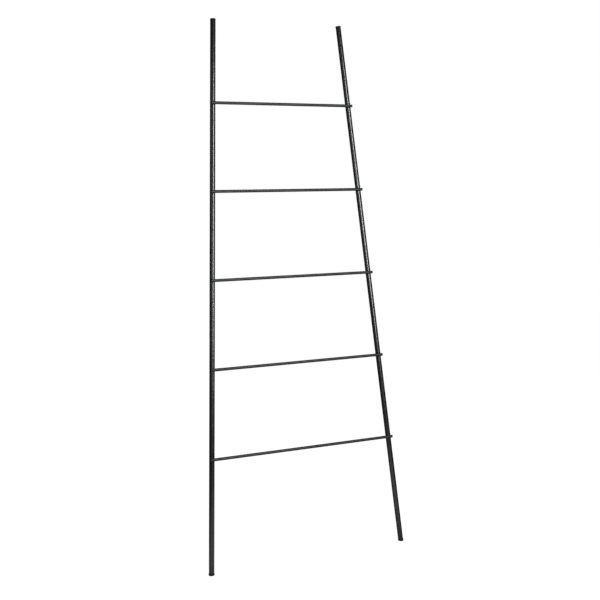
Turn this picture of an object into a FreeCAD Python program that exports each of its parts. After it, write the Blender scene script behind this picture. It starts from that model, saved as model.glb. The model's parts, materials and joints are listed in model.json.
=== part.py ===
import FreeCAD, Part
import math
import os

# A blanket ladder that leans on a wall: two round tube rails, drawn in towards the top, carry thin
# round rungs across their fronts. Screws from behind pass through each rail into the rungs' backs.
# +X runs along the rungs to the right, +Y goes back to the wall and +Z is up. The origin is on the
# floor, under the middle of the whole ladder. Sizes are in millimetres, angles in degrees.

# Whole ladder, measured in its own plane
ladder_length = 1900.0       # from the floor to the tops of the caps
foot_spacing = 744.0         # between the rails' axes at the floor
top_spacing = 483.0          # between the rails' axes at the tops of the caps
lean_angle = 8.4             # back from upright

# Rails
rail_diameter = 19.0
rail_wall = 1.2

# Rungs
rung_count = 5
rung_diameter = 10.5
first_rung_height = 391.0    # from the floor to the lowest rung's axis
top_rung_drop = 293.0        # from the tops of the caps down to the highest rung's axis
rung_overhang = 0.5          # past the rail's outer line
rung_end_radius = 0.8        # rounded edge of a rung's end
saddle_depth = 1.5           # how deep a rail beds into a rung's back
bed_clearance = 0.1          # between a rail and what is hollowed to fit round it

# Screws, with their holes through the rails and their blind holes in the rungs
screw_diameter = 5.0
screw_head_diameter = 9.5
screw_head_height = 2.75
screw_head_radius = 2.2      # rounded edge of the button head
screw_tip_chamfer = 0.6
socket_across_flats = 3.0
socket_depth = 1.6
thread_engagement = 4.8      # how far a screw reaches into a rung
blind_hole_spare = 1.2       # left past the screw's tip
thread_clearance = 0.05      # on the radius
screw_hole_clearance = 0.25  # on the radius, in the rail and the washer

# Saddle washers
washer_diameter = 11.0
washer_crown = 1.2           # thickness over the crest of the tube
washer_edge_radius = 0.4

# Plugs in the rails' ends
plug_depth = 16.0            # how far a plug reaches into the tube
plug_wall = 1.6
plug_clearance = 0.15        # between the fins and the bore
fin_count = 4
fin_height = 1.0             # how far a fin stands out of the stem
fin_thickness = 1.0
cap_lip = 0.5                # how far a top cap stands out past the tube
cap_height = 5.0             # from the tube's end to the crown of the dome
cap_dome = 1.4               # rise of the dome
cap_edge_radius = 2.0
foot_lip = 0.75
foot_height = 6.0            # from the floor to the tube's end, on the rail's axis
foot_edge_radius = 1.2

# How far a cutting shape runs past what it cuts
cut_margin = 1.0

ORIGIN = FreeCAD.Vector(0, 0, 0)
X_AXIS = FreeCAD.Vector(1, 0, 0)
Y_AXIS = FreeCAD.Vector(0, 1, 0)

# Worked out from the sizes above
rail_radius = rail_diameter / 2
bore_radius = rail_radius - rail_wall
bed_radius = rail_radius + bed_clearance
rung_radius = rung_diameter / 2
rung_setback = bed_radius + rung_radius - saddle_depth
rung_pitch = (ladder_length - top_rung_drop - first_rung_height) / (rung_count - 1)
rung_heights = [first_rung_height + k * rung_pitch for k in range(rung_count)]
screw_hole_radius = screw_diameter / 2 + screw_hole_clearance
washer_top = bed_radius + washer_crown
inset_each_side = (foot_spacing - top_spacing) / 2
splay_angle = math.degrees(math.atan2(inset_each_side, ladder_length))
axis_length = math.hypot(ladder_length, inset_each_side)
tube_top = axis_length - cap_height
sides = {"left": -1, "right": 1}


def rail_offset(height):
    """Distance of a rail's axis from the ladder's middle, at a height along the ladder."""
    return foot_spacing / 2 - inset_each_side * height / ladder_length


def cylinder(radius, bottom, top):
    """A round bar on the Z axis between two heights."""
    return Part.makeCylinder(radius, top - bottom, FreeCAD.Vector(0, 0, bottom))


def sleeve(outer_radius, inner_radius, bottom, top):
    """A round sleeve on the Z axis between two heights."""
    return cylinder(outer_radius, bottom, top).cut(cylinder(inner_radius, bottom, top))


def circles(shape):
    """The round edges of a shape."""
    return [e for e in shape.Edges if not e.Degenerated and isinstance(e.Curve, Part.Circle)]


def rims(shape, height, radius):
    """The round edges of a given radius about the Z axis, at a given height."""
    level = [e for e in circles(shape) if math.isclose(e.Curve.Center.z, height)]
    return [e for e in level if math.isclose(e.Curve.Radius, radius)]


def pointing_back(shape):
    """Turns a piece that points up into one that points back, from a rung into the rail."""
    return shape.rotated(ORIGIN, X_AXIS, -90)


def on_rail(shape, side):
    """Puts a piece that was made about Z, up from the floor, onto one rail's slanting axis."""
    placed = shape.rotated(ORIGIN, Y_AXIS, -side * splay_angle)
    return placed.translated(FreeCAD.Vector(side * foot_spacing / 2, 0, 0))


def at_joints(shape, side):
    """One copy of a joint's piece at each rung, centred on the rail's axis."""
    return [shape.translated(FreeCAD.Vector(side * rail_offset(height), 0, height)) for height in rung_heights]


def leaned(shape):
    """Tips a piece from the ladder's own plane to where it stands against the wall."""
    return shape.rotated(ORIGIN, X_AXIS, -lean_angle)


def rail(side):
    """A tube between its two plugs, drilled through back and front at each rung."""
    tube = on_rail(sleeve(rail_radius, bore_radius, foot_height, tube_top), side)
    reach = rail_radius + cut_margin
    for drill in at_joints(pointing_back(cylinder(screw_hole_radius, -reach, reach)), side):
        tube = tube.cut(drill)
    return leaned(tube)


def rung(height):
    """A rod with rounded ends, hollowed to bed on both rails and drilled for the screws."""
    outer_line = rail_offset(height) + rail_radius / math.cos(math.radians(splay_angle))
    half_length = outer_line + rung_overhang
    start = FreeCAD.Vector(-half_length, -rung_setback, height)
    rod = Part.makeCylinder(rung_radius, 2 * half_length, start, X_AXIS)
    rod = rod.makeFillet(rung_end_radius, circles(rod))
    deepest = -bed_radius - thread_engagement - blind_hole_spare
    drill = pointing_back(cylinder(screw_diameter / 2 + thread_clearance, deepest, -bed_radius + cut_margin))
    for side in sides.values():
        rod = rod.cut(on_rail(cylinder(bed_radius, 0, axis_length), side))
        rod = rod.cut(drill.translated(FreeCAD.Vector(side * rail_offset(height), 0, height)))
    return leaned(rod)


def screw():
    """A button-head screw, head up, with the rail's axis at height 0."""
    tip = -bed_radius - thread_engagement
    shank_radius = screw_diameter / 2
    shank = cylinder(shank_radius, tip, washer_top)
    shank = shank.makeChamfer(screw_tip_chamfer, rims(shank, tip, shank_radius))
    head_top = washer_top + screw_head_height
    head = cylinder(screw_head_diameter / 2, washer_top, head_top)
    head = head.makeFillet(screw_head_radius, rims(head, head_top, screw_head_diameter / 2))
    corner = socket_across_flats / math.sqrt(3)
    floor = head_top - socket_depth
    turns = [math.radians(60 * k) for k in range(7)]
    outline = [FreeCAD.Vector(corner * math.cos(a), corner * math.sin(a), floor) for a in turns]
    key = Part.Face(Part.makePolygon(outline)).extrude(FreeCAD.Vector(0, 0, socket_depth + cut_margin))
    return shank.fuse(head).cut(key)


def saddle_washer(side):
    """A round washer, flat on its outer face and hollowed underneath to sit on the back of the tube."""
    radius = washer_diameter / 2
    blank = cylinder(radius, 0, washer_top)
    blank = blank.makeFillet(washer_edge_radius, rims(blank, washer_top, radius))
    blank = pointing_back(blank.cut(cylinder(screw_hole_radius, 0, washer_top)))
    bed = cylinder(bed_radius, -washer_diameter, washer_diameter)
    return blank.cut(bed.rotated(ORIGIN, Y_AXIS, -side * splay_angle))


def plug_stem(head_side, inner_end):
    """The stem of a plug, from its head to its inner end: a hollow sleeve with fins that grip the bore."""
    fin_radius = bore_radius - plug_clearance
    stem_radius = fin_radius - fin_height
    stem = sleeve(stem_radius, stem_radius - plug_wall, min(head_side, inner_end), max(head_side, inner_end))
    for k in range(1, fin_count + 1):
        middle = head_side + k * (inner_end - head_side) / (fin_count + 1)
        fin = sleeve(fin_radius, stem_radius - plug_wall / 2, middle - fin_thickness / 2, middle + fin_thickness / 2)
        stem = stem.fuse(fin)
    return stem


def top_cap(side):
    """A plug with a slightly domed head that covers the tube's upper end."""
    radius = rail_radius + cap_lip
    dome_radius = (radius ** 2 + cap_dome ** 2) / (2 * cap_dome)
    dome = Part.makeSphere(dome_radius, FreeCAD.Vector(0, 0, axis_length - dome_radius))
    head = cylinder(radius, tube_top, axis_length).common(dome)
    head = head.makeFillet(cap_edge_radius, rims(head, axis_length - cap_dome, radius))
    return leaned(on_rail(head.fuse(plug_stem(tube_top, tube_top - plug_depth)), side))


def foot(side):
    """A plug with a thick head, cut off level with the floor and rounded about its sole."""
    radius = rail_radius + foot_lip
    head = leaned(on_rail(cylinder(radius, -rail_diameter, foot_height), side))
    ground = Part.makeBox(2 * foot_spacing, 2 * foot_spacing, foot_spacing)
    head = head.cut(ground.translated(FreeCAD.Vector(-foot_spacing, -foot_spacing, -foot_spacing)))
    sole = min(head.Faces, key=lambda face: face.CenterOfMass.z)
    head = head.makeFillet(foot_edge_radius, sole.Edges)
    return head.fuse(leaned(on_rail(plug_stem(foot_height, foot_height + plug_depth), side)))


def build():
    """Every piece of the ladder by its node name, leaning as it stands in use."""
    pieces = {}
    for name, side in sides.items():
        pieces[name + "_rail"] = rail(side)
        pieces[name + "_top_cap"] = top_cap(side)
        pieces[name + "_foot"] = foot(side)
        pieces[name + "_rung_screws"] = leaned(Part.makeCompound(at_joints(pointing_back(screw()), side)))
        pieces[name + "_saddle_washers"] = leaned(Part.makeCompound(at_joints(saddle_washer(side), side)))
    for number, height in enumerate(rung_heights, start=1):
        pieces["rung_%d" % number] = rung(height)
    box = Part.makeCompound(list(pieces.values())).optimalBoundingBox(False, False)
    to_middle = FreeCAD.Vector(0, -(box.YMin + box.YMax) / 2, 0)
    return {name: shape.translated(to_middle) for name, shape in pieces.items()}


os.makedirs("parts", exist_ok=True)
for node, shape in build().items():
    shape.exportStep("parts/" + node + ".step")
    print(node, "solids", len(shape.Solids), "valid", shape.isValid(), "volume", round(shape.Volume, 1))
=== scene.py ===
import json
import math

import bmesh
import bpy
import numpy as np
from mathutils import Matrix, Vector

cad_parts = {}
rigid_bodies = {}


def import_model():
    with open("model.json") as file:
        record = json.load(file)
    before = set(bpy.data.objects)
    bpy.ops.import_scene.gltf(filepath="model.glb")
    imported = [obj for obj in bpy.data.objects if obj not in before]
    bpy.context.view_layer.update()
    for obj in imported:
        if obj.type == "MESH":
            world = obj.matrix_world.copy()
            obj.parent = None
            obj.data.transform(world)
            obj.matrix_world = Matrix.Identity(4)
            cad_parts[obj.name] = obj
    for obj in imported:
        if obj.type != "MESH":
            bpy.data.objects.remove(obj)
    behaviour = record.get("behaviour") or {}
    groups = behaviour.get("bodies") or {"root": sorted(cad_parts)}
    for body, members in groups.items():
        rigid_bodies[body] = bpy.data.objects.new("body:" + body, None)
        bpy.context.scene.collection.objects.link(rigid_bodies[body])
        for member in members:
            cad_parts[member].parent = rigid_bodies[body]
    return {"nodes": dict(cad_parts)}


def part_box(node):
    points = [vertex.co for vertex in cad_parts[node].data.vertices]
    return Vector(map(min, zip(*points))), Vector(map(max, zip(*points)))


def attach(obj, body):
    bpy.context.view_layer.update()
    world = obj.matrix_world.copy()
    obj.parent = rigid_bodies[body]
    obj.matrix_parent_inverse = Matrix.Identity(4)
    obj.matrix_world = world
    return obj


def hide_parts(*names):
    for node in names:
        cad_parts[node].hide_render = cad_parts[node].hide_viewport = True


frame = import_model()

# a new file of Blender has a cube, a lamp and a camera of its own, which go
for thing in list(bpy.data.objects):
    if thing.name not in frame["nodes"] and not thing.name.startswith("body:"):
        bpy.data.objects.remove(thing)
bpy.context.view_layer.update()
scene = bpy.context.scene
mm = 0.001
print("frame loaded with", len(frame["nodes"]), "nodes")

# the ladder's own sizes, in millimetres and degrees, as the CAD has them

ladder = {
    "length": 1900.0,          # floor to the tops of the caps, in the ladder's own plane
    "footSpacing": 744.0,      # between the rails' axes at the floor
    "topSpacing": 483.0,       # and at the tops of the caps
    "lean": 8.4,
    "railRadius": 9.5,
    "railWall": 1.2,
    "rungRadius": 5.25,
    "rungNames": ["rung_1", "rung_2", "rung_3", "rung_4", "rung_5"],
    "firstRung": 391.0,        # floor to the lowest rung's axis
    "topRungDrop": 293.0,      # tops of the caps down to the highest rung's axis
    "saddleDepth": 1.5,        # how deep a rail beds into a rung's back
    "bedClearance": 0.1,
    "holeRadius": 2.75,        # screw holes through the rails and the washers
    "screwRadius": 2.5,        # over the crests of the thread
    "screwEngagement": 4.8,    # how far a screw reaches into a rung
    "washerCrown": 1.2,        # a washer's thickness over the crest of the tube
    "capHeight": 5.0,
    "footHeight": 6.0,
}
sides = {"left": -1, "right": 1}

lean = math.radians(ladder["lean"])
insetEachSide = (ladder["footSpacing"] - ladder["topSpacing"]) / 2
splay = math.atan2(insetEachSide, ladder["length"])
axisLength = math.hypot(ladder["length"], insetEachSide)
tubeTop = axisLength - ladder["capHeight"]
bedRadius = ladder["railRadius"] + ladder["bedClearance"]
boreRadius = ladder["railRadius"] - ladder["railWall"]
rungSetback = bedRadius + ladder["rungRadius"] - ladder["saddleDepth"]
washerTop = bedRadius + ladder["washerCrown"]
highestRung = ladder["length"] - ladder["topRungDrop"]
rungHeights = np.linspace(ladder["firstRung"], highestRung, len(ladder["rungNames"]))

# the CAD says where the lowest rung's axis is, which gives how far the whole ladder was moved forwards
lowRung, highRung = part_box("rung_1")
rungAxisBack = rungHeights[0] * math.sin(lean) - rungSetback * math.cos(lean)
forwardShift = (lowRung.y + highRung.y) / 2 / mm - rungAxisBack


def railOffset(height):
    # distance of a rail's axis from the ladder's middle: it shrinks in a straight line with height
    return ladder["footSpacing"] / 2 - insetEachSide * height / ladder["length"]


def stand(points):
    # the ladder's own plane tipped back about the X axis, y' = y cos + z sin and z' = z cos - y sin,
    # moved forwards as in the CAD and turned from millimetres to metres
    x, y, z = points[..., 0], points[..., 1], points[..., 2]
    back = y * math.cos(lean) + z * math.sin(lean) + forwardShift
    up = z * math.cos(lean) - y * math.sin(lean)
    return np.stack([x, back, up], axis=-1) * mm


def onRail(points, side):
    # a piece made about the Z axis, up from the floor, turned by the splay and moved out onto a rail's axis:
    # x' = x cos - side z sin + half the foot spacing, and z' = z cos + side x sin
    x, y, z = points[..., 0], points[..., 1], points[..., 2]
    across = x * math.cos(splay) - side * z * math.sin(splay) + side * ladder["footSpacing"] / 2
    up = z * math.cos(splay) + side * x * math.sin(splay)
    return np.stack([across, y, up], axis=-1)


def atJoint(points, side, height):
    # a piece made about the Y axis, moved to where one rung crosses one rail
    return points + np.array([side * railOffset(height), 0.0, height])


# surfaces, all of them grids of points that follow a formula

meshing = {
    "mergeWithin": 0.002,      # mm; points that are nearer than this become one
    "sharpFrom": 38.0,         # degrees between two faces, from which the edge between them looks sharp
}


def gridFaces(rows, columns, closedRows=False):
    # four corners of each cell of a grid whose columns run round and close; numbers count row by row
    r = np.arange(rows if closedRows else rows - 1)[:, None]
    c = np.arange(columns)[None, :]
    nextRow, nextColumn = (r + 1) % rows, (c + 1) % columns
    return np.stack([r * columns + c, r * columns + nextColumn, nextRow * columns + nextColumn,
                     nextRow * columns + c], axis=-1)


def turned(profile, around):
    # a surface of revolution about Z: each (radius, height) of the profile becomes a ring,
    # x = radius sin t and y = -radius cos t, so that t = 0 faces the front
    t = np.arange(around) * 2 * math.pi / around
    radius, height = profile[:, 0, None], profile[:, 1, None]
    return np.stack([radius * np.sin(t), -radius * np.cos(t), height + 0 * t], axis=-1)


def arc(centre, radius, start, end, steps):
    # points of a circle's arc between two angles in degrees, as (radius, height) pairs
    a = np.radians(np.linspace(start, end, steps + 1))
    return np.stack([centre[0] + radius * np.cos(a), centre[1] + radius * np.sin(a)], axis=-1)


def shell(surfaces):
    # joins (points, faces) pairs into one list of points and one of faces
    points, faces, count = [], [], 0
    for p, f in surfaces:
        p = p.reshape(-1, 3)
        points.append(p)
        faces.append(f.reshape(-1, 4) + count)
        count += len(p)
    return np.concatenate(points), np.concatenate(faces)


def makePiece(name, points, faces, material, node, slotName):
    # one object in the CAD's place: seams and poles merged, faces turned outwards, steep edges sharp
    mesh = bpy.data.meshes.new(name)
    mesh.from_pydata(stand(points).tolist(), [], faces.tolist())
    work = bmesh.new()
    work.from_mesh(mesh)
    bmesh.ops.remove_doubles(work, verts=work.verts, dist=meshing["mergeWithin"] * mm)
    loose = [v for v in work.verts if not v.link_faces]
    bmesh.ops.delete(work, geom=loose, context="VERTS")
    bmesh.ops.recalc_face_normals(work, faces=work.faces)
    work.to_mesh(mesh)
    work.free()
    mesh.polygons.foreach_set("use_smooth", np.ones(len(mesh.polygons), dtype=bool))
    mesh.set_sharp_from_angle(angle=math.radians(meshing["sharpFrom"]))
    mesh.materials.append(material)
    piece = bpy.data.objects.new(name, mesh)
    scene.collection.objects.link(piece)
    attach(piece, "root")
    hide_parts(node)


# camera: stands where the photograph's did, a little above the middle and to the left

camera = {
    "place": (-1.4734, -3.2102, 1.4056),
    "yaw": 25.01,        # degrees to the right of straight back
    "pitch": 8.07,       # degrees down
    "sensor": 36.0,      # its width in mm
    "lens": 60.26,       # mm
    "sees": (0.05, 100.0),    # nearest and farthest, in metres
}


def makeCamera():
    lens = bpy.data.cameras.new("photoCamera")
    lens.sensor_width = camera["sensor"]
    lens.lens = camera["lens"]
    lens.clip_start, lens.clip_end = camera["sees"]
    holder = bpy.data.objects.new("photoCamera", lens)
    holder.location = camera["place"]
    holder.rotation_euler = (math.radians(90 - camera["pitch"]), 0, -math.radians(camera["yaw"]))
    scene.collection.objects.link(holder)
    scene.camera = holder


makeCamera()
scene.view_settings.view_transform = "Standard"
print("camera set")

# materials: the waves and grains below have the sizes of the real ones, so they show only close up

pattern = {
    "toneFrom": 0.35,        # values of the drift at which a skin has its dark tone and least roughness,
    "toneTo": 0.65,          # and its light tone and most roughness
    "driftDetail": 3.0,
    "waveDetail": 1.0,
    "grainDetail": 2.0,
}


def linearColour(hexCode):
    # sRGB hex to the linear red, green, blue and alpha that the shaders want
    parts = [int(hexCode[k:k + 2], 16) / 255 for k in (1, 3, 5)]
    return tuple(p / 12.92 if p <= 0.04045 else ((p + 0.055) / 1.055) ** 2.4 for p in parts) + (1.0,)


def addNode(tree, kind, settings=None, links=None):
    # one shader node: a setting is an attribute or an input, by name or number, and a link is the pair of
    # the node it comes from and that node's output
    node = tree.nodes.new(kind)
    for name, value in (settings or {}).items():
        if isinstance(name, str) and hasattr(node, name):
            setattr(node, name, value)
        else:
            node.inputs[name].default_value = value
    for name, (source, output) in (links or {}).items():
        tree.links.new(source.outputs[output], node.inputs[name])
    return node


def newMaterial(name):
    material = bpy.data.materials.new(name)
    material.use_nodes = True
    material.node_tree.nodes.clear()
    return material, material.node_tree


def perMetre(sizeInMm):
    # the scale that gives a pattern features of this size on Object coordinates, which are in metres
    return 1000.0 / sizeInMm


def finish(look):
    # one painted, moulded or oxidised skin: two tones that drift into each other, a roughness that drifts
    # with them, and a relief of a broad wave and a fine grain
    material, tree = newMaterial(look["name"])
    place = addNode(tree, "ShaderNodeTexCoord")
    drift = addNode(tree, "ShaderNodeTexNoise",
                    {"Scale": perMetre(look["driftSize"]), "Detail": pattern["driftDetail"]},
                    {"Vector": (place, "Object")})
    tone = addNode(tree, "ShaderNodeValToRGB", {}, {"Fac": (drift, "Fac")})
    tone.color_ramp.elements[0].position = pattern["toneFrom"]
    tone.color_ramp.elements[0].color = linearColour(look["darkTone"])
    tone.color_ramp.elements[1].position = pattern["toneTo"]
    tone.color_ramp.elements[1].color = linearColour(look["lightTone"])
    smooth, rough = look["roughness"]
    dullness = addNode(tree, "ShaderNodeMapRange",
                       {"From Min": pattern["toneFrom"], "From Max": pattern["toneTo"],
                        "To Min": smooth, "To Max": rough}, {"Value": (drift, "Fac")})
    wave = addNode(tree, "ShaderNodeTexNoise",
                   {"Scale": perMetre(look["waveSize"]), "Detail": pattern["waveDetail"]},
                   {"Vector": (place, "Object")})
    grain = addNode(tree, "ShaderNodeTexNoise",
                    {"Scale": perMetre(look["grainSize"]), "Detail": pattern["grainDetail"]},
                    {"Vector": (place, "Object")})
    waveBump = addNode(tree, "ShaderNodeBump", {"Strength": 1.0, "Distance": look["waveDepth"] * mm},
                       {"Height": (wave, "Fac")})
    grainBump = addNode(tree, "ShaderNodeBump", {"Strength": 1.0, "Distance": look["grainDepth"] * mm},
                        {"Height": (grain, "Fac"), "Normal": (waveBump, "Normal")})
    skin = addNode(tree, "ShaderNodeBsdfPrincipled", look["shader"],
                   {"Base Color": (tone, "Color"), "Roughness": (dullness, "Result"),
                    "Normal": (grainBump, "Normal")})
    addNode(tree, "ShaderNodeOutputMaterial", {}, {"Surface": (skin, "BSDF")})
    return material


# polyester powder coat, satin black, sprayed and baked on steel tube: a deep black with a soft, slightly
# wavy streak of light down each tube, from the orange peel of the molten powder
railCoat = finish({
    "name": "satinPowderCoat",
    "darkTone": "#0b0b0c", "lightTone": "#0e0e0f",
    "driftSize": 40.0, "roughness": (0.26, 0.31),
    "waveSize": 1.8, "waveDepth": 0.01,
    "grainSize": 0.5, "grainDepth": 0.0045,
    "shader": {"IOR": 1.57},
})

# the same powder on thin rod, which cools sooner, so that it flows out less: a drier, flatter skin
rungCoat = finish({
    "name": "dryPowderCoat",
    "darkTone": "#0d0d0e", "lightTone": "#111112",
    "driftSize": 30.0, "roughness": (0.57, 0.63),
    "waveSize": 1.2, "waveDepth": 0.012,
    "grainSize": 0.4, "grainDepth": 0.009,
    "shader": {"IOR": 1.5},
})

# low-density polyethylene, injection moulded in a spark-eroded mould: an even, fine, dull grain
capPlastic = finish({
    "name": "mouldedPolyethylene",
    "darkTone": "#0a0a0a", "lightTone": "#0d0d0d",
    "driftSize": 12.0, "roughness": (0.5, 0.6),
    "waveSize": 0.9, "waveDepth": 0.01,
    "grainSize": 0.3, "grainDepth": 0.012,
    "shader": {"IOR": 1.51, "Specular IOR Level": 0.4},
})

# thermoplastic rubber, moulded: dull, with a faint bloom that greys it in patches
footRubber = finish({
    "name": "mouldedRubber",
    "darkTone": "#0a0a0a", "lightTone": "#0f0f0e",
    "driftSize": 8.0, "roughness": (0.72, 0.85),
    "waveSize": 1.1, "waveDepth": 0.02,
    "grainSize": 0.35, "grainDepth": 0.02,
    "shader": {"IOR": 1.52, "Specular IOR Level": 0.25},
})

# black oxide on steel, from a hot alkaline bath and oiled: dark metal with brownish and bluish patches
screwOxide = finish({
    "name": "oiledBlackOxide",
    "darkTone": "#39383b", "lightTone": "#4a4541",
    "driftSize": 2.5, "roughness": (0.3, 0.42),
    "waveSize": 0.5, "waveDepth": 0.003,
    "grainSize": 0.12, "grainDepth": 0.001,
    "shader": {"Metallic": 1.0},
})

# the same bath on pressed and tumbled washers, which leaves them duller
washerOxide = finish({
    "name": "tumbledBlackOxide",
    "darkTone": "#343435", "lightTone": "#403e3b",
    "driftSize": 3.0, "roughness": (0.45, 0.55),
    "waveSize": 0.4, "waveDepth": 0.005,
    "grainSize": 0.12, "grainDepth": 0.002,
    "shader": {"Metallic": 1.0},
})
print("materials made")

# rails: drawn steel tube, drilled through at each rung

rail = {
    "around": 96,            # faces round the tube
    "patchCells": 14,        # cells along each side of the square patch in which a hole lies
    "patchHalf": 4.2,        # half height of that patch, mm
    "patchRings": (0.0, 0.08, 0.3, 0.62, 1.0),    # from the hole's circle to the patch's border
    "edgeRadius": 0.35,      # the cut ends, rounded by the coat
    "edgeSteps": 4,
}


def squareLoop(cells):
    # the border of a square of cells, once round from its lower left corner, as (column, row) steps
    step = np.arange(cells)
    zero, full = np.zeros(cells, int), np.full(cells, cells)
    columns = np.concatenate([step, full, cells - step, zero])
    rows = np.concatenate([zero, step, full, cells - step])
    return columns, rows


def drilledTube():
    # a closed profile, up the outside and down the bore, turned about Z; then at each hole a square of
    # cells gives way to rings that pass from the square's border to the hole's circle, on the same wall
    around, cells, steps = rail["around"], rail["patchCells"], rail["edgeSteps"]
    outer, inner = ladder["railRadius"], boreRadius
    bottom, top, edge = ladder["footHeight"], tubeTop, rail["edgeRadius"]
    holeHeights = rungHeights / math.cos(splay)
    patchRows = np.linspace(-rail["patchHalf"], rail["patchHalf"], cells + 1)
    patchLines = (holeHeights[:, None] + patchRows).ravel()
    outside = np.stack([np.full_like(patchLines, outer), patchLines], axis=-1)
    inside = np.stack([np.full_like(patchLines, inner), patchLines[::-1]], axis=-1)
    profile = np.concatenate([
        arc((outer - edge, bottom + edge), edge, -90, 0, steps), outside,
        arc((outer - edge, top - edge), edge, 0, 90, steps),
        arc((inner + edge, top - edge), edge, 90, 180, steps), inside,
        arc((inner + edge, bottom + edge), edge, 180, 270, steps)])
    points = turned(profile, around)
    faces = gridFaces(len(profile), around, closedRows=True)
    keep = np.ones(faces.shape[:2], dtype=bool)
    surfaces = []
    columns, rows = squareLoop(cells)
    firstOutside = steps + 1
    firstInside = firstOutside + len(patchLines) + 2 * (steps + 1)
    for number, height in enumerate(holeHeights):
        # the outside runs upwards and the bore downwards, so a hole's rows are counted from either end
        outPatch = firstOutside + number * (cells + 1)
        inPatch = firstInside + (len(holeHeights) - number - 1) * (cells + 1)
        for middle in (0, around // 2):
            columnNumbers = (middle - cells // 2 + columns) % around
            cellColumns = (middle - cells // 2 + np.arange(cells)) % around
            for firstRow in (outPatch, inPatch):
                keep[np.ix_(firstRow + np.arange(cells), cellColumns)] = False
            outBorder = points[outPatch + rows, columnNumbers]
            inBorder = points[inPatch + cells - rows, columnNumbers]
            angle = np.arctan2(outBorder[:, 2] - height, outBorder[:, 0])
            circle = ladder["holeRadius"] * np.stack([np.cos(angle), np.sin(angle)], axis=-1) + [0, height]
            front = np.sign(outBorder[0, 1])
            rings = []
            for border, radius, shares in ((outBorder, outer, rail["patchRings"][::-1]),
                                           (inBorder, inner, rail["patchRings"])):
                share = np.array(shares)[:, None, None]
                flat = circle + (border[:, [0, 2]] - circle) * share
                depth = front * np.sqrt(radius ** 2 - flat[..., 0] ** 2)
                rings.append(np.stack([flat[..., 0], depth, flat[..., 1]], axis=-1))
            wall = np.concatenate(rings)
            surfaces.append((wall, gridFaces(len(wall), len(columns))))
    surfaces.append((points, faces[keep]))
    return shell(surfaces)


def makeRails():
    points, faces = drilledTube()
    for name, side in sides.items():
        standing = onRail(points, side)
        makePiece(name + "Rail", standing, faces, railCoat, name + "_rail", "rail_coat")


makeRails()
print("rails made")

# rungs: solid rod, hollowed to bed on both rails and drilled from behind for the screws

rung = {
    "around": 72,
    "patchCells": 24,        # 24 of the 72 faces round the rod, so the patch covers its back third
    "patchHalf": 6.2,        # half length of the patch in which a saddle lies, mm
    "bedRings": (0.0, 0.1, 0.3, 0.55, 0.8, 1.0),    # over the bed, from the hole to the saddle's rim
    "rimRings": (0.12, 0.45, 1.0),                  # on the rod's back, from the rim to the patch's border
    "floorRings": (1.0, 0.999, 0.5, 0.0),           # on the blind hole's floor, as shares of its radius
    "endRadius": 0.8,
    "endSteps": 7,
    "endRing": 0.4,          # a ring on the flat end, as a share of the rod's radius
    "overhang": 0.5,         # past the rail's outer line
    "threadClearance": 0.05,
    "spareDepth": 1.2,       # of the blind hole past the screw's tip
    "rimSearchSteps": 50,
    "rimSearchReach": 0.999, # the search stays just inside both round shapes
}


def saddleRim(angle, side):
    # how far the saddle's rim lies from its centre in each direction, seen from behind: the distance d at
    # which the rod's back, setback - sqrt(r2 - (d sin)2), and the bed, sqrt(R2 - (d cos)2), are at one
    # depth, found by halving the span from a distance inside the saddle to one outside it
    radius, reach, hardlyAny = ladder["rungRadius"], rung["rimSearchReach"], 1e-6
    upward = np.maximum(np.abs(np.sin(angle)), hardlyAny)
    near, far = np.zeros_like(angle), np.minimum(radius * reach / upward, bedRadius * reach)
    for _ in range(rung["rimSearchSteps"]):
        half = (near + far) / 2
        rodBack = rungSetback - np.sqrt(np.maximum(radius ** 2 - (half * np.sin(angle)) ** 2, 0))
        bed = np.sqrt(np.maximum(bedRadius ** 2 - (half * np.cos(angle - side * splay)) ** 2, 0))
        inside = rodBack < bed
        near, far = np.where(inside, half, near), np.where(inside, far, half)
    return near[:, None]


def saddle(border, side, offset):
    # rings from the border of the patch in to the saddle's rim, on the rod's back, then over the bed to
    # the screw hole and down its wall to a flat floor
    flat = border[:, [0, 2]] - [offset, 0]
    angle = np.arctan2(flat[:, 1], flat[:, 0])
    towards = np.stack([np.cos(angle), np.sin(angle)], axis=-1)
    rim = towards * saddleRim(angle, side)
    hole = towards * (ladder["screwRadius"] + rung["threadClearance"])
    onRod = rim + (flat - rim) * np.array(rung["rimRings"][::-1])[:, None, None]
    rodDepth = -rungSetback + np.sqrt(ladder["rungRadius"] ** 2 - onRod[..., 1] ** 2)
    onBed = hole + (rim - hole) * np.array(rung["bedRings"][::-1])[:, None, None]
    across = onBed[..., 0] * math.cos(splay) + side * onBed[..., 1] * math.sin(splay)
    bedDepth = -np.sqrt(bedRadius ** 2 - across ** 2)
    floorDepth = -bedRadius - ladder["screwEngagement"] - rung["spareDepth"]
    inHole = hole * np.array(rung["floorRings"])[:, None, None]
    holeDepth = np.full(inHole.shape[:2], floorDepth)
    planar = np.concatenate([onRod, onBed, inHole])
    depth = np.concatenate([rodDepth, bedDepth, holeDepth])
    points = np.stack([planar[..., 0] + offset, depth, planar[..., 1]], axis=-1)
    return points, gridFaces(len(points), len(angle))


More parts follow.
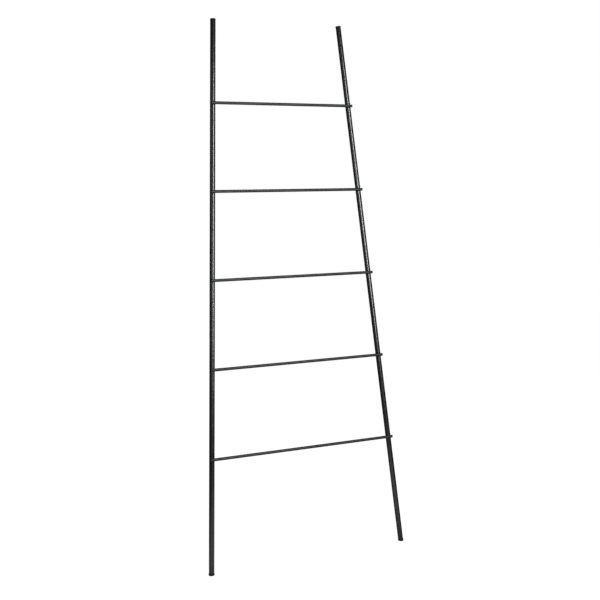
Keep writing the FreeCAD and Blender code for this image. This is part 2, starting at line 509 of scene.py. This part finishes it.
def saddledRod(height):
    # a profile with rounded ends turned about the rod's own axis, with a patch at each rail: x lies along
    # the rod, y = radius cos t - setback and z = radius sin t
    around, cells, radius = rung["around"], rung["patchCells"], ladder["rungRadius"]
    offset = railOffset(height)
    halfLength = offset + ladder["railRadius"] / math.cos(splay) + rung["overhang"]
    edge = rung["endRadius"]
    endArc = arc((radius - edge, halfLength - edge), edge, 90, 0, rung["endSteps"])
    patchLines = offset + np.linspace(rung["patchHalf"], -rung["patchHalf"], cells + 1)
    halfProfile = np.concatenate([
        [[0.0, halfLength], [radius * rung["endRing"], halfLength]], endArc,
        np.stack([np.full_like(patchLines, radius), patchLines], axis=-1)])
    profile = np.concatenate([halfProfile, halfProfile[::-1] * [1, -1]])
    t = np.arange(around) * 2 * math.pi / around
    reach, along = profile[:, 0, None], profile[:, 1, None]
    # t = 0 faces back, to the rails, and x falls from row to row
    points = np.stack([along + 0 * t, reach * np.cos(t) - rungSetback, reach * np.sin(t)], axis=-1)
    faces = gridFaces(len(profile), around)
    keep = np.ones(faces.shape[:2], dtype=bool)
    surfaces = []
    columns, rows = squareLoop(cells)
    cellColumns = (np.arange(cells) - cells // 2) % around
    firstRight = len(halfProfile) - len(patchLines)
    for side, first in ((1, firstRight), (-1, len(halfProfile))):
        keep[np.ix_(first + np.arange(cells), cellColumns)] = False
        border = points[first + rows, (columns - cells // 2) % around]
        surfaces.append(saddle(border, side, side * offset))
    surfaces.append((points, faces[keep]))
    joined, faces = shell(surfaces)
    return joined + [0, 0, height], faces


def makeRungs():
    for number, (node, height) in enumerate(zip(ladder["rungNames"], rungHeights), start=1):
        points, faces = saddledRod(height)
        makePiece("rung%d" % number, points, faces, rungCoat, node, "rung_coat")


makeRungs()
print("rungs made")

# screws: M5 button heads with a hex socket, threaded nearly up to the head

screw = {
    "around": 48,
    "threadDepth": 0.43,
    "pitch": 0.8,
    "ringsPerTurn": 6,
    "grooveSteepness": 1.25, # over 1 leaves a flat root
    "grooveCrest": 0.15,     # over 0 leaves a flat crest
    "plainLength": 0.9,      # shank without thread under the head
    "runOut": 0.6,           # length over which the thread fades out there
    "tipChamfer": 0.6,
    "headRadius": 4.75,
    "headHeight": 2.75,
    "undersideRings": (3.4, 4.6),
    "rimRise": 0.12,         # the head's lower edge, rounded off
    "landHeight": 0.45,      # straight part of the head's rim
    "topRadius": 2.45,       # flat on top, round the socket
    "domeSteps": 10,
    "socketFlats": 3.0,
    "socketDepth": 1.6,
    "socketChamfer": 0.18,
    "socketRing": 0.6,       # edge of the drill's cone in the socket's floor, as a share of the hexagon
    "socketCone": 0.35,      # depth of that cone
}


def threadedShank(t):
    # radius = crest less a V-shaped groove whose place along the screw grows by one pitch for each turn,
    # and no more than the tip's chamfer of 45 degrees leaves
    crest, tip, under = ladder["screwRadius"], -bedRadius - ladder["screwEngagement"], washerTop
    turns = (under - tip) / screw["pitch"]
    along = np.linspace(tip, under, int(turns * screw["ringsPerTurn"]))[:, None]
    phase = (along / screw["pitch"] - t / (2 * math.pi)) % 1.0
    valley = 1 - np.abs(2 * phase - 1)
    groove = np.clip(screw["grooveSteepness"] * valley - screw["grooveCrest"], 0, 1)
    fade = np.clip((under - screw["plainLength"] - along) / screw["runOut"], 0, 1)
    radius = crest - screw["threadDepth"] * groove * fade
    taper = crest - screw["tipChamfer"] + (along - tip)
    return np.minimum(radius, taper), along + 0 * t


def buttonScrew():
    # rings from the tip's pole up the thread, out under the head, over its dome and down into the hexagon,
    # whose radius at an angle is half the flats' distance over the cosine of the angle to the nearest flat.
    # The dome is a quarter of an ellipse from the rim's straight part up to the flat on top
    around = screw["around"]
    t = np.arange(around) * 2 * math.pi / around
    shankRadius, shankHeight = threadedShank(t)
    tip = shankHeight[0, 0]
    low, high = washerTop, washerTop + screw["headHeight"]
    rim, flat, land = screw["headRadius"], screw["topRadius"], screw["landHeight"]
    a = np.linspace(0, math.pi / 2, screw["domeSteps"] + 1)
    dome = np.stack([flat + (rim - flat) * np.cos(a),
                     low + land + (screw["headHeight"] - land) * np.sin(a)], axis=-1)
    underside = [[radius, low] for radius in (ladder["screwRadius"], *screw["undersideRings"])]
    head = np.concatenate([underside, [[rim, low + screw["rimRise"]]], dome])
    fromFlat = (t + math.pi / 6) % (math.pi / 3) - math.pi / 6
    hexagon = screw["socketFlats"] / 2 / np.cos(fromFlat)
    floor = high - screw["socketDepth"]
    chamfer = screw["socketChamfer"]
    socketRadius = np.stack([hexagon + chamfer, hexagon, hexagon, hexagon * screw["socketRing"], 0 * t])
    socketHeight = np.array([high, high - chamfer, floor, floor, floor - screw["socketCone"]])
    radius = np.concatenate([0 * t[None], shankRadius, head[:, 0, None] + 0 * t, socketRadius])
    height = np.concatenate([tip + 0 * t[None], shankHeight, head[:, 1, None] + 0 * t,
                             socketHeight[:, None] + 0 * t])
    points = np.stack([radius * np.sin(t), height, radius * np.cos(t)], axis=-1)
    return points, gridFaces(len(points), around)


# saddle washers: round and flat outside, hollowed to sit on the back of the tube

washer = {
    "around": 96,
    "radius": 5.5,
    "edgeRadius": 0.4,
    "edgeSteps": 5,
    "holeChamfer": 0.2,
    "faceRing": 4.2,         # a ring on the flat face
    "seatSteps": 8,
}


def saddleWasher(side):
    # a closed profile round the ring: flat face, rounded edge, wall, the saddle, and the hole's wall.
    # The saddle's depth is that of the tube: the root of bed radius squared less distance across squared
    around, radius, edge = washer["around"], washer["radius"], washer["edgeRadius"]
    hole, chamfer = ladder["holeRadius"], washer["holeChamfer"]
    t = np.arange(around) * 2 * math.pi / around
    face = np.concatenate([
        [[hole, washerTop - chamfer], [hole + chamfer, washerTop], [washer["faceRing"], washerTop]],
        arc((radius - edge, washerTop - edge), edge, 90, 0, washer["edgeSteps"])])
    seat = np.linspace(radius, hole, washer["seatSteps"] + 1)[:, None] + 0 * t
    across = seat * np.cos(t - side * splay)
    seatDepth = np.sqrt(bedRadius ** 2 - across ** 2)
    reach = np.concatenate([face[:, 0, None] + 0 * t, seat])
    depth = np.concatenate([face[:, 1, None] + 0 * t, seatDepth])
    points = np.stack([reach * np.cos(t), depth, reach * np.sin(t)], axis=-1)
    return points, gridFaces(len(points), around, closedRows=True)


def makeFasteners():
    # one of each at every rung, joined into one mesh for each rail
    for name, side in sides.items():
        for kind, ending, (points, faces), material, slotName in (
                ("RungScrews", "_rung_screws", buttonScrew(), screwOxide, "screw_steel"),
                ("SaddleWashers", "_saddle_washers", saddleWasher(side), washerOxide, "washer_steel")):
            row = shell([(atJoint(points, side, height), faces) for height in rungHeights])
            makePiece(name + kind, *row, material, name + ending, slotName)


makeFasteners()
print("screws and washers made")

# plugs in the rails' ends

plug = {
    "around": 96,
    "depth": 16.0,           # how far a plug reaches into the tube
    "clearance": 0.15,
    "finHeight": 1.0,
    "finCount": 4,
    "finThickness": 1.0,
    # a fin leans a little, thick at its root and thinner at its lip: shares of half its thickness on from
    # its middle, and of its height down from its lip
    "finShape": ((-1.0, 1.0), (-0.6, 0.1), (-0.4, 0.0), (0.2, 0.0), (0.4, 0.1), (1.0, 1.0)),
    "wall": 1.6,
    "endChamfer": 0.3,       # at the stem's inner end, outside
    "boreChamfer": 0.2,      # and inside
    "capLip": 0.5,
    "capDome": 1.4,
    "capEdge": 2.0,
    "lipEdge": 0.25,         # rounded edge under the cap's lip
    "lipSide": 0.35,         # where the lip's straight side ends, above the tube
    "domeSteps": 14,
    "edgeSteps": 10,
    "gateRadius": 1.3,       # dimple in the middle of the cap where the plastic came in
    "gateDepth": 0.22,
    "gateShape": ((0.0, 1.0), (0.6, 1.0), (0.9, 0.8)),    # its profile: shares of its radius and depth
    "footLip": 0.75,
    "footEdge": 1.2,
    "footEdgeSteps": 8,
    "shoulderEdge": 0.3,
    "smallSteps": 4,         # of the lip's and the shoulder's edges
    "soleGrooves": (3.2, 6.0),
    "grooveDepth": 0.5,
    "grooveHalf": 0.55,      # half its width at the sole,
    "grooveFloor": 0.4,      # and at its floor
}


def stemProfile(head, inwards):
    # from the shoulder along the outside of the stem with its fins, round its inner end and back along its
    # bore to a flat bottom; inwards is the way into the tube, 1 up or -1 down
    finRadius = boreRadius - plug["clearance"]
    stemRadius = finRadius - plug["finHeight"]
    end = head + inwards * plug["depth"]
    path = [[stemRadius, head]]
    for k in range(1, plug["finCount"] + 1):
        middle = head + k * (end - head) / (plug["finCount"] + 1)
        half = inwards * plug["finThickness"] / 2
        path += [[finRadius - down * plug["finHeight"], middle + on * half]
                 for on, down in plug["finShape"]]
    outer, inner, wallRadius = plug["endChamfer"], plug["boreChamfer"], stemRadius - plug["wall"]
    path += [[stemRadius, end - inwards * outer], [stemRadius - outer, end], [wallRadius + inner, end],
             [wallRadius, end - inwards * inner], [wallRadius, head], [0.0, head]]
    return np.array(path)


def capPoints():
    # turned profile: dimple, dome of one radius, rounded edge, underside of the lip, then the stem
    radius = ladder["railRadius"] + plug["capLip"]
    edge, crown = plug["capEdge"], axisLength
    domeRadius = (radius ** 2 + plug["capDome"] ** 2) / (2 * plug["capDome"])
    domeCentre = crown - domeRadius
    # the edge's circle touches the dome from inside and the straight side
    edgeHeight = domeCentre + math.sqrt((domeRadius - edge) ** 2 - (radius - edge) ** 2)
    touch = math.degrees(math.atan2(edgeHeight - domeCentre, radius - edge))
    gateAngle = math.degrees(math.acos(plug["gateRadius"] / domeRadius))
    dimple = [[plug["gateRadius"] * out, crown - plug["gateDepth"] * down]
              for out, down in plug["gateShape"]]
    lip = plug["lipEdge"]
    path = np.concatenate([
        dimple, arc((0.0, domeCentre), domeRadius, gateAngle, touch, plug["domeSteps"]),
        arc((radius - edge, edgeHeight), edge, touch, 0, plug["edgeSteps"])[1:],
        [[radius, tubeTop + plug["lipSide"]]],
        arc((radius - lip, tubeTop + lip), lip, 0, -90, plug["smallSteps"]), stemProfile(tubeTop, -1)])
    return turned(path, plug["around"])


def soleHeight(x, y, side):
    # height along the rail's axis at which the floor cuts it, as the floor slopes against that axis: the
    # distance to the back times the lean's tangent over the splay's cosine, less the distance outwards
    # times the splay's tangent
    return y * math.tan(lean) / math.cos(splay) - side * x * math.tan(splay)


def footPoints(side):
    # turned profile whose lower part follows the floor: each ring there has a height above the sloping sole
    # added to the sole's own height at that point
    radius, head = ladder["railRadius"] + plug["footLip"], ladder["footHeight"]
    edge, shoulder = plug["footEdge"], plug["shoulderEdge"]
    half, halfFloor, deep = plug["grooveHalf"], plug["grooveFloor"], plug["grooveDepth"]
    grooves = []
    for middle in plug["soleGrooves"]:
        grooves += [[middle - half, 0.0], [middle - halfFloor, deep], [middle + halfFloor, deep],
                    [middle + half, 0.0]]
    sole = np.concatenate([[[0.0, 0.0]], grooves,
                           arc((radius - edge, edge), edge, -90, 0, plug["footEdgeSteps"])])
    upper = np.concatenate([arc((radius - shoulder, head - shoulder), shoulder, 0, 90, plug["smallSteps"]),
                            stemProfile(head, 1)])
    soleRings, upperRings = turned(sole, plug["around"]), turned(upper, plug["around"])
    soleRings[..., 2] += soleHeight(soleRings[..., 0], soleRings[..., 1], side)
    return np.concatenate([soleRings, upperRings])


def makePlugs():
    for name, side in sides.items():
        for kind, ending, rings, material, slotName in (
                ("TopCap", "_top_cap", capPoints(), capPlastic, "cap_plastic"),
                ("Foot", "_foot", footPoints(side), footRubber, "foot_rubber")):
            points, faces = shell([(onRail(rings, side), gridFaces(len(rings), plug["around"]))])
            makePiece(name + kind, points, faces, material, name + ending, slotName)


makePlugs()
print("caps and feet made")

# studio: a tall softbox in front, weaker ones round it, a dim room and a pale floor

studio = {
    # each softbox: where it stands, what it faces, its width and height in metres, and its watts
    "softboxes": {
        "keySoftbox": ((0.42, -1.9, 1.76), (0.0, 0.0, 1.45), (0.4, 1.6), 66.0),
        "leftSoftbox": ((-2.6, -1.5, 2.05), (0.0, 0.0, 1.2), (1.0, 2.1), 8.0),
        "frontCard": ((-1.9, -4.6, 1.75), (0.0, 0.0, 1.2), (4.0, 1.2), 10.0),
        "backSoftbox": ((1.2, 3.3, 2.6), (0.0, 0.0, 1.1), (1.2, 1.2), 20.0),
    },
    "lampTint": "#f9ffff",
    "roomLevel": 0.4,           # light that the surfaces get from all round
    "roomGloss": 0.05,          # and how bright the gloss shows that room
    # white that gloss and glass see: a backdrop hangs behind the ladder, and in front lies a painted pool of
    # light, a round of floor that glows only in reflections
    "backdropFacing": 25.0,     # degrees to the right of straight back
    "backdropHalf": 24.0,       # half width of the part that hangs, in degrees
    # the painted pool of light: where its round lies, how far it reaches, how its edge fades and how bright
    # it glows
    "paintedPoolMiddle": (-0.28, -1.38, 0.0),
    "paintedPoolReach": 1.3,          # radius of the round,
    "paintedPoolFade": 0.33,          # and how far its edge fades in and out from there
    "paintedPoolLevel": 0.9,
    "floorHalf": 5.0,           # half the side of the square floor
    "floorColour": "#e9e8e6",
    "floorGlow": 0.97,          # brings the floor up to white for the camera, with a faint shadow on it
    "floorShade": 0.1,
}


def makeSoftbox(name, place, aim, size, power):
    # a lamp with an evenly bright face, which the camera itself doesn't see
    lamp = bpy.data.lights.new(name, "AREA")
    lamp.shape = "RECTANGLE"
    lamp.size, lamp.size_y = size
    lamp.energy = power
    lamp.color = linearColour(studio["lampTint"])[:3]
    holder = bpy.data.objects.new(name, lamp)
    holder.location = place
    holder.rotation_euler = (Vector(aim) - Vector(place)).to_track_quat("-Z", "Y").to_euler()
    holder.visible_camera = False
    scene.collection.objects.link(holder)


def grey(level):
    return (level, level, level, 1.0)


def glossOrGlass(tree, rays):
    # 1 for a ray that was mirrored or went through glass, otherwise 0
    return addNode(tree, "ShaderNodeMath", {"operation": "MAXIMUM"},
                   {0: (rays, "Is Glossy Ray"), 1: (rays, "Is Transmission Ray")})


def makeWorld():
    # white for the camera; gloss and glass see the white backdrop behind the ladder and a dim room elsewhere.
    # A Mix node of colours has its factor at input 0, its colours at 6 and 7, and its result at output 2
    world = bpy.data.worlds.new("studioRoom")
    scene.world = world
    world.use_nodes = True
    tree = world.node_tree
    tree.nodes.clear()
    rays = addNode(tree, "ShaderNodeLightPath")
    place = addNode(tree, "ShaderNodeTexCoord")
    facing = math.radians(studio["backdropFacing"])
    towards = addNode(tree, "ShaderNodeVectorMath",
                      {"operation": "DOT_PRODUCT", 1: (math.sin(facing), math.cos(facing), 0.0)},
                      {0: (place, "Generated")})
    edge = math.cos(math.radians(studio["backdropHalf"]))
    onBackdrop = addNode(tree, "ShaderNodeMath", {"operation": "GREATER_THAN", 1: edge},
                         {0: (towards, "Value")})
    inGloss = addNode(tree, "ShaderNodeMix",
                      {"data_type": "RGBA", 6: grey(studio["roomGloss"]), 7: grey(1.0)},
                      {0: (onBackdrop, "Value")})
    around = addNode(tree, "ShaderNodeMix", {"data_type": "RGBA", 6: grey(studio["roomLevel"])},
                     {0: (glossOrGlass(tree, rays), "Value"), 7: (inGloss, 2)})
    seen = addNode(tree, "ShaderNodeMix", {"data_type": "RGBA", 7: grey(1.0)},
                   {0: (rays, "Is Camera Ray"), 6: (around, 2)})
    room = addNode(tree, "ShaderNodeBackground", {}, {"Color": (seen, 2)})
    addNode(tree, "ShaderNodeOutputWorld", {}, {"Surface": (room, "Background")})


def makeFloor():
    # a glowing white for the camera, with the ladder's shadow; gloss and glass see a painted pool of light, a
    # glowing round of the floor that fades to the dim room by its distance from the middle; all else sees a
    # pale floor
    half = studio["floorHalf"]
    mesh = bpy.data.meshes.new("studioFloor")
    corners = [(-half, -half, 0), (half, -half, 0), (half, half, 0), (-half, half, 0)]
    mesh.from_pydata(corners, [], [(0, 1, 2, 3)])
    floor = bpy.data.objects.new("studioFloor", mesh)
    scene.collection.objects.link(floor)
    floorMaterial, tree = newMaterial("floorWithPaintedPool")
    rays = addNode(tree, "ShaderNodeLightPath")
    place = addNode(tree, "ShaderNodeTexCoord")
    diffuse = addNode(tree, "ShaderNodeBsdfDiffuse", {"Color": linearColour(studio["floorColour"])})
    shade = addNode(tree, "ShaderNodeBsdfDiffuse", {"Color": grey(studio["floorShade"])})
    glow = addNode(tree, "ShaderNodeEmission", {"Color": grey(1.0), "Strength": studio["floorGlow"]})
    lit = addNode(tree, "ShaderNodeAddShader", {}, {0: (shade, 0), 1: (glow, 0)})
    # the painted pool of light: a glow that only gloss and glass see, fading with the distance from its
    # middle
    away = addNode(tree, "ShaderNodeVectorMath", {"operation": "DISTANCE", 1: studio["paintedPoolMiddle"]},
                   {0: (place, "Object")})
    reach, width = studio["paintedPoolReach"], studio["paintedPoolFade"]
    fade = addNode(tree, "ShaderNodeMapRange",
                   {"interpolation_type": "SMOOTHSTEP",
                    "From Min": reach - width, "From Max": reach + width,
                    "To Min": studio["paintedPoolLevel"], "To Max": studio["roomGloss"]},
                   {"Value": (away, "Value")})
    inGloss = addNode(tree, "ShaderNodeEmission", {"Color": grey(1.0)}, {"Strength": (fade, "Result")})
    around = addNode(tree, "ShaderNodeMixShader", {},
                     {0: (glossOrGlass(tree, rays), "Value"), 1: (diffuse, 0), 2: (inGloss, 0)})
    shown = addNode(tree, "ShaderNodeMixShader", {},
                    {0: (rays, "Is Camera Ray"), 1: (around, 0), 2: (lit, 0)})
    addNode(tree, "ShaderNodeOutputMaterial", {}, {"Surface": (shown, 0)})
    mesh.materials.append(floorMaterial)


for boxName, (place, aim, size, power) in studio["softboxes"].items():
    makeSoftbox(boxName, place, aim, size, power)
makeWorld()
makeFloor()
print("studio set")
